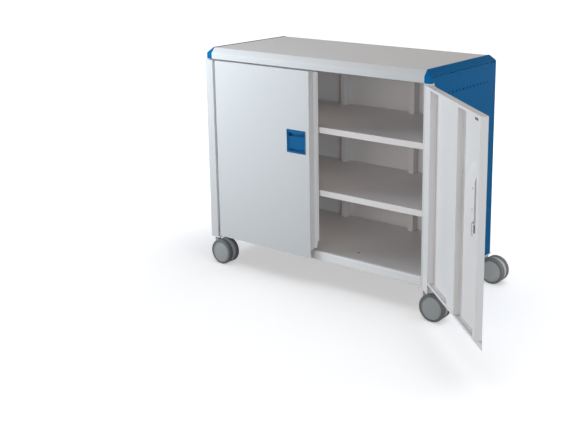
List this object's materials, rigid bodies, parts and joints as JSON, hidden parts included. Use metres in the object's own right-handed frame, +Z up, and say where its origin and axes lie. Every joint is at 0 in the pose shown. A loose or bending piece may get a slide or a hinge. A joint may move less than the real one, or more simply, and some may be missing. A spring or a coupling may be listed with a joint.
{
  "type": "mobile storage cabinet",
  "caption": "Low steel storage cabinet on twin-wheel swivel casters, with hinged doors, shelves, blue end panels and a recessed pull.",
  "frame": {"origin": "on the floor, under the middle of the bounding box of the cabinet with its right door open as pictured", "axes": "+X along the cabinet's width towards the open right door, +Y from the doors to the back, +Z up"},
  "size_m": [1.3912, 0.8096, 0.86],
  "materials": {
    "light_grey_paint": "fine-textured light grey powder coat",
    "blue_paint": "fine-textured blue powder coat",
    "blue_plastic": "moulded blue plastic",
    "lock_steel": "nickel-plated steel",
    "dark_steel": "blackened steel",
    "caster_plastic": "moulded light grey nylon",
    "hub_plastic": "moulded mid grey nylon",
    "tyre_rubber": "matt dark grey rubber"
  },
  "bodies": {
    "cabinet": {"top_panel": "light_grey_paint", "base_rail": "light_grey_paint", "floor_pan": "light_grey_paint", "back_panel": "light_grey_paint", "upper_shelf": "light_grey_paint", "lower_shelf": "light_grey_paint", "left_end_panel": "blue_paint", "left_side_wall": "light_grey_paint", "left_front_stile": "light_grey_paint", "left_back_post": "light_grey_paint", "left_hinge_bracket": "light_grey_paint", "front_left_corner_plate": "light_grey_paint", "rear_left_corner_plate": "light_grey_paint", "right_end_panel": "blue_paint", "right_side_wall": "light_grey_paint", "right_front_stile": "light_grey_paint", "right_back_post": "light_grey_paint", "right_hinge_bracket": "light_grey_paint", "front_right_corner_plate": "light_grey_paint", "rear_right_corner_plate": "light_grey_paint", "front_left_caster_socket": "caster_plastic", "front_right_caster_socket": "caster_plastic", "rear_left_caster_socket": "caster_plastic", "rear_right_caster_socket": "caster_plastic"},
    "left_door": {"left_door_panel": "light_grey_paint", "left_hinge_post": "light_grey_paint", "left_door_stiffener": "light_grey_paint", "left_door_pull": "blue_plastic", "left_door_astragal": "light_grey_paint"},
    "right_door": {"right_door_panel": "light_grey_paint", "right_hinge_post": "light_grey_paint", "right_door_stiffener": "light_grey_paint", "right_door_pull": "blue_plastic", "right_door_lock_cover": "light_grey_paint"},
    "lock": {"lock_cylinder": "lock_steel", "lock_cam": "dark_steel"},
    "front_left_caster": {"front_left_caster_body": "caster_plastic", "front_left_axle": "lock_steel"},
    "front_left_fore_wheel": {"front_left_fore_hub": "hub_plastic", "front_left_fore_tyre": "tyre_rubber"},
    "front_left_aft_wheel": {"front_left_aft_hub": "hub_plastic", "front_left_aft_tyre": "tyre_rubber"},
    "front_right_caster": {"front_right_caster_body": "caster_plastic", "front_right_axle": "lock_steel"},
    "front_right_fore_wheel": {"front_right_fore_hub": "hub_plastic", "front_right_fore_tyre": "tyre_rubber"},
    "front_right_aft_wheel": {"front_right_aft_hub": "hub_plastic", "front_right_aft_tyre": "tyre_rubber"},
    "rear_left_caster": {"rear_left_caster_body": "caster_plastic", "rear_left_axle": "lock_steel"},
    "rear_left_fore_wheel": {"rear_left_fore_hub": "hub_plastic", "rear_left_fore_tyre": "tyre_rubber"},
    "rear_left_aft_wheel": {"rear_left_aft_hub": "hub_plastic", "rear_left_aft_tyre": "tyre_rubber"},
    "rear_right_caster": {"rear_right_caster_body": "caster_plastic", "rear_right_axle": "lock_steel"},
    "rear_right_fore_wheel": {"rear_right_fore_hub": "hub_plastic", "rear_right_fore_tyre": "tyre_rubber"},
    "rear_right_aft_wheel": {"rear_right_aft_hub": "hub_plastic", "rear_right_aft_tyre": "tyre_rubber"}
  },
  "joints": [
    {"name": "left_door_hinge", "type": "hinge", "parent": "cabinet", "child": "left_door", "pos_m": [-0.68906, -0.06319, 0], "axis": [0, 0, -1], "range_deg": [0, 180]},
    {"name": "right_door_hinge", "type": "hinge", "parent": "cabinet", "child": "right_door", "pos_m": [0.31394, -0.06319, 0], "axis": [0, 0, 1], "range_deg": [-139, 41]},
    {"name": "lock_turn", "type": "hinge", "parent": "right_door", "child": "lock", "pos_m": [0.67405, -0.36762, 0.493], "axis": [-0.6561, -0.7547, 0], "range_deg": [0, 90]},
    {"name": "front_left_swivel", "type": "hinge", "parent": "cabinet", "child": "front_left_caster", "pos_m": [-0.67406, -0.05169, 0], "axis": [0, 0, 1], "continuous": true},
    {"name": "front_left_fore_spin", "type": "hinge", "parent": "front_left_caster", "child": "front_left_fore_wheel", "pos_m": [-0.63706, -0.05169, 0.04976], "axis": [0, 1, 0], "continuous": true},
    {"name": "front_left_aft_spin", "type": "hinge", "parent": "front_left_caster", "child": "front_left_aft_wheel", "pos_m": [-0.63706, -0.05169, 0.04976], "axis": [0, 1, 0], "continuous": true},
    {"name": "front_right_swivel", "type": "hinge", "parent": "cabinet", "child": "front_right_caster", "pos_m": [0.29894, -0.05169, 0], "axis": [0, 0, 1], "continuous": true},
    {"name": "front_right_fore_spin", "type": "hinge", "parent": "front_right_caster", "child": "front_right_fore_wheel", "pos_m": [0.33594, -0.05169, 0.04976], "axis": [0, 1, 0], "continuous": true},
    {"name": "front_right_aft_spin", "type": "hinge", "parent": "front_right_caster", "child": "front_right_aft_wheel", "pos_m": [0.33594, -0.05169, 0.04976], "axis": [0, 1, 0], "continuous": true},
    {"name": "rear_left_swivel", "type": "hinge", "parent": "cabinet", "child": "rear_left_caster", "pos_m": [-0.67406, 0.37631, 0], "axis": [0, 0, 1], "continuous": true},
    {"name": "rear_left_fore_spin", "type": "hinge", "parent": "rear_left_caster", "child": "rear_left_fore_wheel", "pos_m": [-0.63706, 0.37631, 0.04976], "axis": [0, 1, 0], "continuous": true},
    {"name": "rear_left_aft_spin", "type": "hinge", "parent": "rear_left_caster", "child": "rear_left_aft_wheel", "pos_m": [-0.63706, 0.37631, 0.04976], "axis": [0, 1, 0], "continuous": true},
    {"name": "rear_right_swivel", "type": "hinge", "parent": "cabinet", "child": "rear_right_caster", "pos_m": [0.29894, 0.37631, 0], "axis": [0, 0, 1], "continuous": true},
    {"name": "rear_right_fore_spin", "type": "hinge", "parent": "rear_right_caster", "child": "rear_right_fore_wheel", "pos_m": [0.33594, 0.37631, 0.04976], "axis": [0, 1, 0], "continuous": true},
    {"name": "rear_right_aft_spin", "type": "hinge", "parent": "rear_right_caster", "child": "rear_right_aft_wheel", "pos_m": [0.33594, 0.37631, 0.04976], "axis": [0, 1, 0], "continuous": true}
  ]
}
